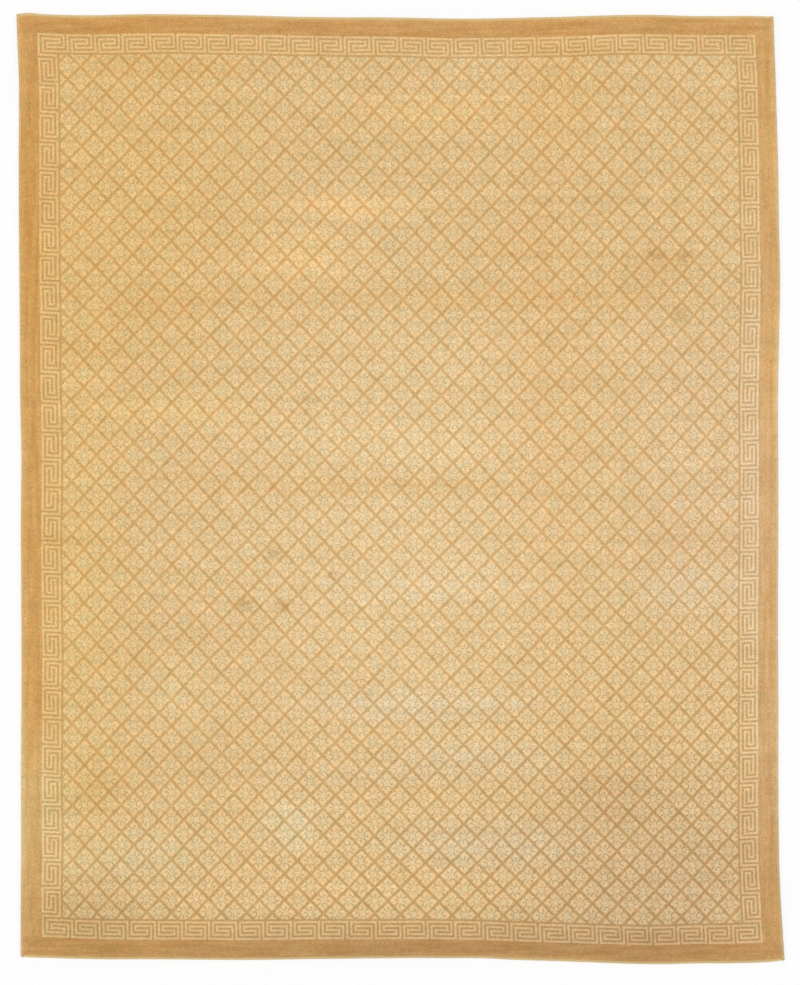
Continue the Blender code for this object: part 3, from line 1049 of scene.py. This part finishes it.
def web_material():
    """Plain weft-faced weave of the end hems, with painted shade in the dips between weft rows."""
    s = Shader("woven_web", roughness=0.93, sheen=0.08)
    place = s.place()
    cell = s.vector("DIVIDE", place, (WARP_PITCH, WEFT_PITCH, 1.0))
    along, past = s.split(cell)[:2]
    odd = s.math("FLOORED_MODULO", s.math("FLOOR", past), 2.0)
    over = s.math("SINE", s.math("MULTIPLY", s.math("MULTIPLY_ADD", odd, 0.5, along), 2 * pi))
    row = s.math("SINE", s.math("MULTIPLY", s.math("FRACT", past), pi))
    height = s.math("MULTIPLY", s.math("MULTIPLY_ADD", over, 0.5, 1.0), row)
    tone = s.streaks(place, WEB_STREAKS)
    colour = s.mix(tone, linear(WEB_LIGHT), linear(WEB_DARK))
    # Painted shade, deepest in the dips of the weave.
    hollow = s.math("MULTIPLY", s.span(height, 0.0, 0.5, 1.0, 0.0), WEB_HOLLOW_SHADE_SHARE)
    colour = s.mix(hollow, colour, linear(WEB_HOLLOW_SHADE))
    toned = s.mix(1.0, colour, s.held("tone"), "MULTIPLY")
    s.put(s.mix(WEB_TONE_SHARE, colour, toned), s.surface.inputs["Base Color"])
    s.bump(height, WEB_RELIEF, strength=0.9)
    return s.material


def binding_material():
    """Overcast yarn: each turn its own tone, with fine plied strands and painted shade in the hollows
    between turns.
    """
    s = Shader("overcast_yarn", roughness=0.92, sheen=0.12)
    phase, turn = s.map("Turns")
    place = s.place()
    tone = s.speck(s.join(s.math("FLOOR", phase), 0.0))
    colour = s.mix(tone, linear(YARN_LIGHT), linear(YARN_DARK))
    colour = s.mix(s.swell(place, YARN_DYE), colour, s.mix(1.0, colour, YARN_DULL, "MULTIPLY"))
    ply = s.math("SINE", s.math("MULTIPLY_ADD", phase, PLIES * 2 * pi, s.math("MULTIPLY", turn, PLY_SLANT)))
    # Painted shade, darkest at the bottom between two turns.
    hollow = s.math("SUBTRACT", 1.0, s.math("ABSOLUTE", s.math("SINE", s.math("MULTIPLY", phase, pi))))
    hollow = s.math("MULTIPLY", s.math("POWER", hollow, YARN_HOLLOW_SHADE_POWER), YARN_HOLLOW_SHADE_SHARE)
    colour = s.mix(hollow, colour, linear(YARN_HOLLOW_SHADE))
    s.put(s.mix(1.0, colour, s.held("tone"), "MULTIPLY"), s.surface.inputs["Base Color"])
    fuzz = s.noise(place, YARN_FUZZ)
    s.bump(s.math("MULTIPLY_ADD", ply, PLY_RISE, fuzz), YARN_RELIEF, strength=0.8)
    return s.material


def floor_material():
    s = Shader("pale_floor", roughness=0.9, sheen=0.0)
    tone = s.noise(s.place(), 0.7, 2.0)
    s.put(s.mix(tone, *FLOOR_TONES), s.surface.inputs["Base Color"])
    return s.material


# Stage.


def stage():
    bpy.ops.mesh.primitive_plane_add(size=FLOOR_SIZE, location=(0.0, 0.0, -FLOOR_DROP))
    floor = bpy.context.object
    floor.name = "floor"
    floor.data.materials.append(floor_material())
    world = bpy.data.worlds.new("studio")
    world.use_nodes = True
    world.node_tree.nodes["Background"].inputs["Color"].default_value = (1.0, 1.0, 1.0, 1.0)
    world.node_tree.nodes["Background"].inputs["Strength"].default_value = SKY_STRENGTH
    bpy.context.scene.world = world
    lamp = bpy.data.lights.new("soft_key", "SUN")
    lamp.energy = SUN_STRENGTH
    lamp.angle = radians(SUN_SPREAD)
    key = bpy.data.objects.new("soft_key", lamp)
    key.rotation_euler = [radians(turn) for turn in SUN_TILT]
    bpy.context.scene.collection.objects.link(key)
    bpy.context.scene.view_settings.view_transform = "Standard"


def camera():
    """Straight above, with the rug where the photograph has it in its frame."""
    data = bpy.data.cameras.new("photo_camera")
    data.lens = LENS
    data.sensor_width = SENSOR
    view_height = PHOTO_HEIGHT * PHOTO_PIXEL
    eye = bpy.data.objects.new("photo_camera", data)
    middle_x = (PHOTO_WIDTH / 2 - RUG_MIDDLE_PX[0]) * PHOTO_PIXEL
    middle_y = (RUG_MIDDLE_PX[1] - PHOTO_HEIGHT / 2) * PHOTO_PIXEL
    eye.location = (middle_x, middle_y, PILE_TOP + view_height * LENS / SENSOR)
    data.clip_end = CAMERA_REACH
    bpy.context.scene.collection.objects.link(eye)
    bpy.context.scene.camera = eye


def build():
    pile_wool = pile_material()
    pile = pile_surface(pile_wool)
    tufts = rim_tufts(pile_wool)
    base = foundation(web_material(), back_material())
    yarn = binding_material()
    left = overcast_side("overcast_left", "side_binding_left", True, yarn)
    right = overcast_side("overcast_right", "side_binding_right", False, yarn)
    for piece in (pile, tufts, base):
        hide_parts("knotted_panel")
    for piece, node in ((left, "side_binding_left"), (right, "side_binding_right")):
        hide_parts(node)


build()
stage()
camera()
